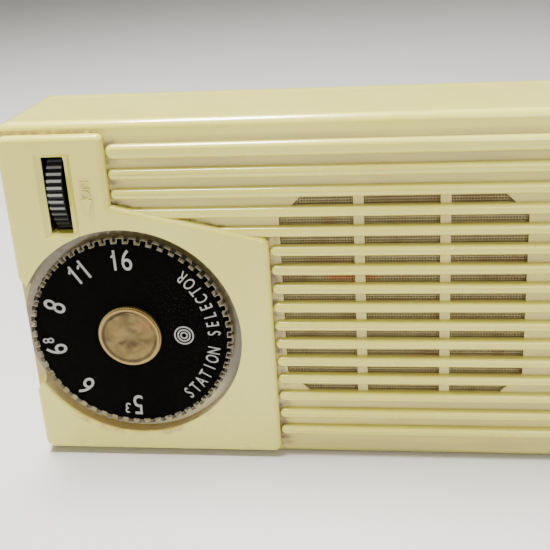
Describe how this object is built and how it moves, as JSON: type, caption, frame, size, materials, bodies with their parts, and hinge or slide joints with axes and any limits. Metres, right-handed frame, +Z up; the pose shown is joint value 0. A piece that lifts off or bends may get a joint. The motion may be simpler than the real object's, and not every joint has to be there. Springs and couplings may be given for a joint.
{
  "type": "pocket transistor radio",
  "caption": "Pocket transistor radio in a ribbed cream plastic case, with a round tuning dial under a brass cap, an edge volume wheel, a slotted grille and a lift-off back.",
  "frame": {"origin": "middle of the bounding box at its bottom, on the surface that the radio stands on", "axes": "+X along the case's length, from the dial end to the grille end; +Y from the front to the back; +Z up, across the ribs"},
  "size_m": [0.11, 0.0276, 0.067],
  "materials": {
    "cream_plastic": "glossy moulded plastic, yellowed ivory",
    "clear_plastic": "clear acrylic",
    "black_plastic": "glossy black",
    "brass": "turned and lacquered",
    "steel": "plated sheet and wire",
    "grille_mesh": "fine dark woven mesh",
    "speaker_paper": "matt pressed paper",
    "magnet": "dull plated",
    "phenolic_board": "brown resin-bonded paper",
    "white_plastic": "moulded",
    "can_aluminium": "drawn can",
    "laminated_iron": "stacked sheet, varnished",
    "blue_sleeve": "shrunk sleeve",
    "resistor_body": "painted, colour bands",
    "ferrite": "sintered, dark grey",
    "copper_winding": "enamelled wire",
    "battery_jacket": "printed jacket"
  },
  "bodies": {
    "case": {"front_shell": "cream_plastic", "screw_insert": "brass", "volume_pot": "steel", "pot_bracket": "steel", "grille_mesh": "grille_mesh", "speaker_frame": "steel", "speaker_cone": "speaker_paper", "dust_cap": "speaker_paper", "speaker_magnet": "magnet", "speaker_clip_1": "steel", "speaker_clip_2": "steel", "clip_screw_1": "steel", "clip_screw_2": "steel", "circuit_board": "phenolic_board", "board_screw_1": "steel", "board_screw_2": "steel", "board_screw_3": "steel", "tuning_capacitor": "white_plastic", "oscillator_coil": "can_aluminium", "if_transformer_1": "can_aluminium", "if_transformer_2": "can_aluminium", "if_transformer_3": "can_aluminium", "driver_transformer": "laminated_iron", "output_transformer": "laminated_iron", "transistor_1": "can_aluminium", "transistor_2": "can_aluminium", "transistor_3": "can_aluminium", "transistor_4": "can_aluminium", "transistor_5": "can_aluminium", "transistor_6": "can_aluminium", "electrolytic_1": "blue_sleeve", "electrolytic_2": "blue_sleeve", "electrolytic_3": "blue_sleeve", "resistor_1": "resistor_body", "resistor_2": "resistor_body", "resistor_3": "resistor_body", "resistor_4": "resistor_body", "ferrite_rod": "ferrite", "antenna_coil": "copper_winding", "rod_clip_1": "white_plastic", "rod_clip_2": "white_plastic", "earphone_jack": "black_plastic"},
    "dial": {"tuning_dial": "clear_plastic", "dial_face": "black_plastic", "dial_cap": "brass", "tuning_shaft": "brass"},
    "wheel": {"volume_wheel": "black_plastic", "wheel_screw": "brass"},
    "cover": {"back_cover": "cream_plastic"},
    "screw": {"cover_screw": "brass"},
    "battery_pack": {"battery": "battery_jacket", "battery_terminal_1": "steel", "battery_terminal_2": "steel", "battery_snap": "black_plastic"}
  },
  "joints": [
    {"name": "dial_turn", "type": "hinge", "parent": "case", "child": "dial", "pos_m": [-0.0342, 0, 0.0262], "axis": [0, -1, 0], "range_deg": [-90, 80]},
    {"name": "volume_turn", "type": "hinge", "parent": "case", "child": "wheel", "pos_m": [-0.0446, -0.004, 0.054], "axis": [1, 0, 0], "range_deg": [0, 280]},
    {"name": "cover_off", "type": "slide", "parent": "case", "child": "cover", "axis": [0, 1, 0], "range_m": [0, 0.06]},
    {"name": "screw_turn", "type": "hinge", "parent": "cover", "child": "screw", "pos_m": [-0.0167, 0, 0.0335], "axis": [0, 1, 0], "continuous": true},
    {"name": "battery_out", "type": "slide", "parent": "case", "child": "battery_pack", "axis": [0, 1, 0], "range_m": [0, 0.027]}
  ],
  "couplings": [
    {"joint": "battery_out", "follows": "cover_off", "ratio": 0.45}
  ]
}
